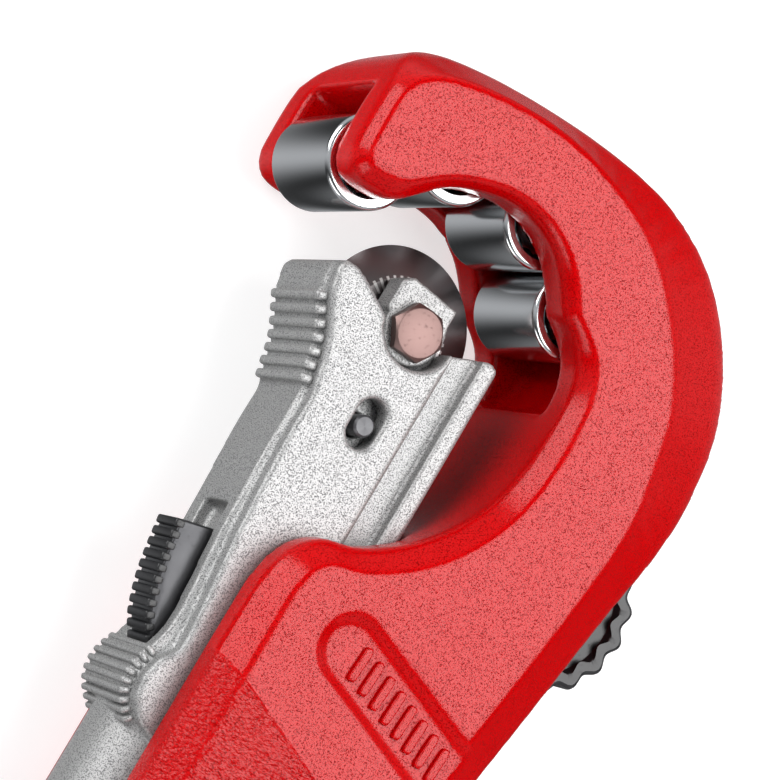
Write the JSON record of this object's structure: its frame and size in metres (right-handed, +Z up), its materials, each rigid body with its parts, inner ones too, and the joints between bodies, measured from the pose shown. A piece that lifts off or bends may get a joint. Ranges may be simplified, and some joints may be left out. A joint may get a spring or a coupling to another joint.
{
  "type": "pipe cutter",
  "caption": "Hand pipe cutter: C-shaped cast frame with guide rollers, sliding carriage with screw-fed cutting wheel, ratchet button, feed knob and fold-out deburrer.",
  "frame": {"origin": "middle of the underside: the tool lies on its far flank", "axes": "+Y along the slide towards the roller end, +X from the open side of the C towards its back, +Z up out of the near flank"},
  "size_m": [0.0676, 0.1798, 0.029],
  "materials": {
    "red_coating": "semi-gloss powder coat with a fine orange-peel grain",
    "diecast": "bead-blasted die casting, sparkling grain",
    "roller_steel": "fine-turned hardened steel",
    "bearing_steel": "ground",
    "screw_steel": "zinc-plated",
    "spring_steel": "drawn wire",
    "wheel_steel": "dark hardened tool steel, ground bevels",
    "bolt_steel": "satin, warm tinted head",
    "blade_steel": "ground tool steel",
    "ratchet_steel": "hardened, phosphated",
    "black_steel": "black oxide satin",
    "black_plastic": "fine moulded texture",
    "bronze": "turned"
  },
  "bodies": {
    "frame": {"body_frame": "red_coating", "roller_axle_1": "bearing_steel", "roller_axle_2": "bearing_steel", "roller_axle_3": "bearing_steel", "roller_axle_4": "bearing_steel", "ratchet_rack": "ratchet_steel", "rack_screw_1": "screw_steel", "rack_screw_2": "screw_steel", "travel_stop_pin": "bearing_steel", "deburrer_pin": "bearing_steel"},
    "carriage": {"carriage_shell": "diecast", "carriage_rail": "diecast", "rail_screw_1": "screw_steel", "rail_screw_2": "screw_steel", "rail_screw_3": "screw_steel", "rail_screw_4": "screw_steel", "spindle_bush": "bronze"},
    "fork": {"wheel_fork": "diecast", "wheel_bolt": "bolt_steel", "wheel_bolt_nut": "screw_steel", "fork_stop_pin": "black_steel", "spindle_nut": "bronze"},
    "wheel": {"cutting_wheel": "wheel_steel"},
    "knob": {"feed_knob": "black_plastic", "feed_spindle": "bearing_steel", "spindle_collar": "bearing_steel", "spare_cutting_wheel": "wheel_steel"},
    "cap": {"knob_cap": "black_plastic"},
    "button": {"release_button": "black_steel", "button_spring": "spring_steel"},
    "pawl": {"ratchet_pawl": "ratchet_steel"},
    "deburrer": {"deburrer_wheel": "black_plastic", "deburrer_blade": "blade_steel"},
    "roller_1": {"guide_roller_1": "roller_steel", "needle_bearing_1_far": "bearing_steel", "needle_bearing_1_near": "bearing_steel"},
    "roller_2": {"guide_roller_2": "roller_steel", "needle_bearing_2_far": "bearing_steel", "needle_bearing_2_near": "bearing_steel"},
    "roller_3": {"guide_roller_3": "roller_steel", "needle_bearing_3_far": "bearing_steel", "needle_bearing_3_near": "bearing_steel"},
    "roller_4": {"guide_roller_4": "roller_steel", "needle_bearing_4_far": "bearing_steel", "needle_bearing_4_near": "bearing_steel"}
  },
  "joints": [
    {"name": "carriage_slide", "type": "slide", "parent": "frame", "child": "carriage", "axis": [0, 1, 0], "range_m": [-0.0315, 0.001]},
    {"name": "knob_turn", "type": "hinge", "parent": "carriage", "child": "knob", "pos_m": [-0.01235, -0.07135, 0.0145], "axis": [0, 1, 0], "range_deg": [-72.5, 613]},
    {"name": "fork_feed", "type": "slide", "parent": "carriage", "child": "fork", "axis": [0, 1, 0], "range_m": [-0.0002, 0.0017]},
    {"name": "wheel_spin", "type": "hinge", "parent": "fork", "child": "wheel", "pos_m": [-0.01235, 0.05865, 0.0145], "axis": [0, 0, 1], "continuous": true},
    {"name": "cap_pull", "type": "slide", "parent": "knob", "child": "cap", "axis": [0, -1, 0], "range_m": [0, 0.012]},
    {"name": "button_push", "type": "slide", "parent": "carriage", "child": "button", "axis": [0, 1, 0], "range_m": [0, 0.003], "stiffness_N_per_m": 400, "springref_m": -0.001, "deforming": ["button_spring"]},
    {"name": "pawl_release", "type": "slide", "parent": "carriage", "child": "pawl", "axis": [1, 0, 0], "range_m": [-0.0012, 0]},
    {"name": "deburrer_swing", "type": "hinge", "parent": "frame", "child": "deburrer", "pos_m": [0.02245, 0.04345, 0.0145], "axis": [0, 0, 1], "range_deg": [0, 115]},
    {"name": "roller_spin_1", "type": "hinge", "parent": "frame", "child": "roller_1", "pos_m": [-0.0283, 0.07125, 0.0145], "axis": [0, 0, 1], "continuous": true},
    {"name": "roller_spin_2", "type": "hinge", "parent": "frame", "child": "roller_2", "pos_m": [-0.0191, 0.07802, 0.0145], "axis": [0, 0, 1], "continuous": true},
    {"name": "roller_spin_3", "type": "hinge", "parent": "frame", "child": "roller_3", "pos_m": [-0.0056, 0.07802, 0.0145], "axis": [0, 0, 1], "continuous": true},
    {"name": "roller_spin_4", "type": "hinge", "parent": "frame", "child": "roller_4", "pos_m": [0.0036, 0.07125, 0.0145], "axis": [0, 0, 1], "continuous": true}
  ],
  "couplings": [
    {"joint": "knob_turn", "follows": "fork_feed", "rad_per_m": 6283.2},
    {"joint": "pawl_release", "follows": "button_push", "ratio": -0.4}
  ]
}
